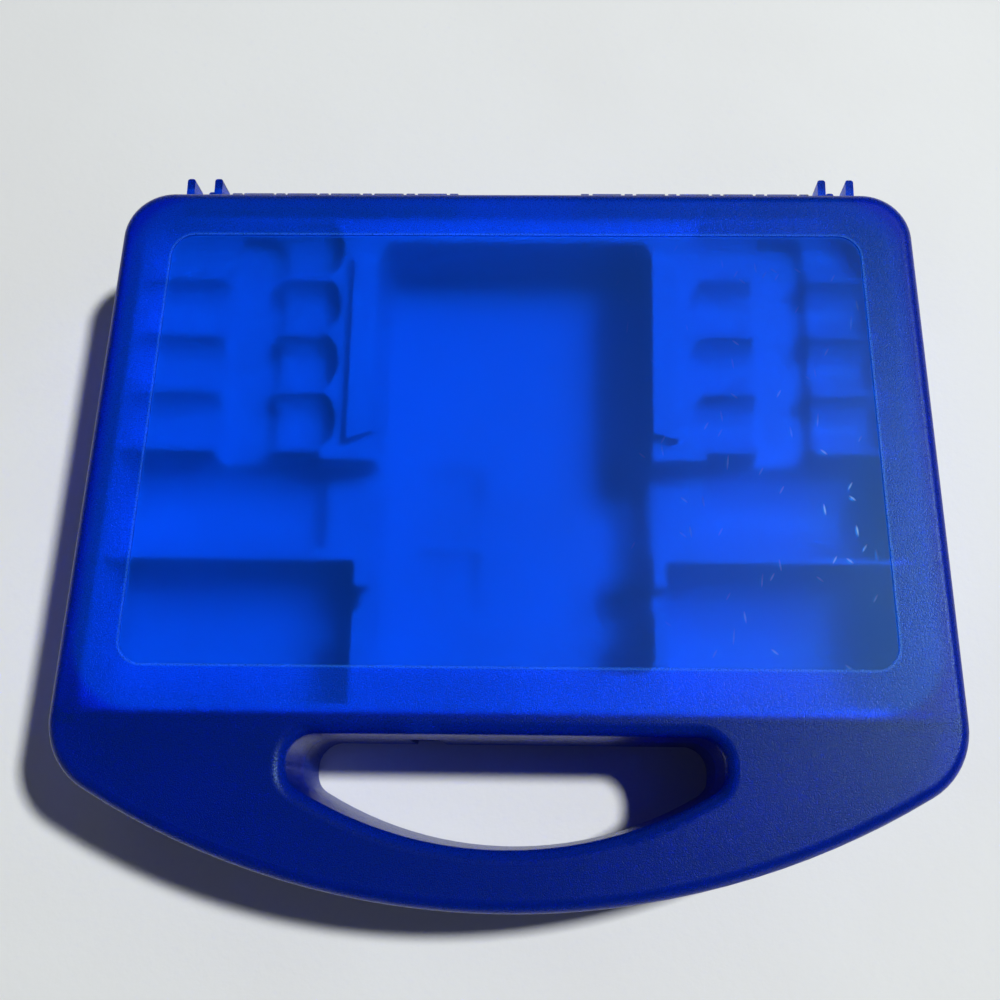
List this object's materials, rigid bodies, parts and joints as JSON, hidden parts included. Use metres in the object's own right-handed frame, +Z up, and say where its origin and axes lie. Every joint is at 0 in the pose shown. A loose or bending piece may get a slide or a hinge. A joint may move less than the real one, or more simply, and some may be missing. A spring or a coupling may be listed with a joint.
{
  "type": "battery case",
  "caption": "Flat carrying case with a hinged see-through lid, a hand grip moulded in both halves and a tray with grooves for cells and a bay for a charger.",
  "frame": {"origin": "on the underside, in the middle of the footprint", "axes": "+X along the hinge to the right, +Y towards the hinge, +Z up through the lid"},
  "size_m": [0.2116, 0.1866, 0.0436],
  "materials": {
    "base_blue": "translucent blue plastic with a fine grain",
    "lid_blue": "translucent blue plastic, grained rim and polished window",
    "tray_sheet": "pale blue pressed sheet",
    "pin_steel": "drawn wire"
  },
  "bodies": {
    "base": {"base_shell": "base_blue", "base_grip": "base_blue", "base_lugs": "base_blue", "base_feet": "base_blue", "tray_bay": "tray_sheet", "tray_aa_1": "tray_sheet", "tray_aa_2": "tray_sheet", "tray_aa_3": "tray_sheet", "tray_aa_4": "tray_sheet", "tray_c": "tray_sheet", "tray_d": "tray_sheet", "hinge_pins": "pin_steel"},
    "lid": {"lid_shell": "lid_blue", "lid_barrels": "lid_blue", "lid_feet": "lid_blue"}
  },
  "joints": [
    {"name": "lid_hinge", "type": "hinge", "parent": "base", "child": "lid", "pos_m": [0, 0.089, 0.0218], "axis": [-1, 0, 0], "range_deg": [0, 180]}
  ]
}
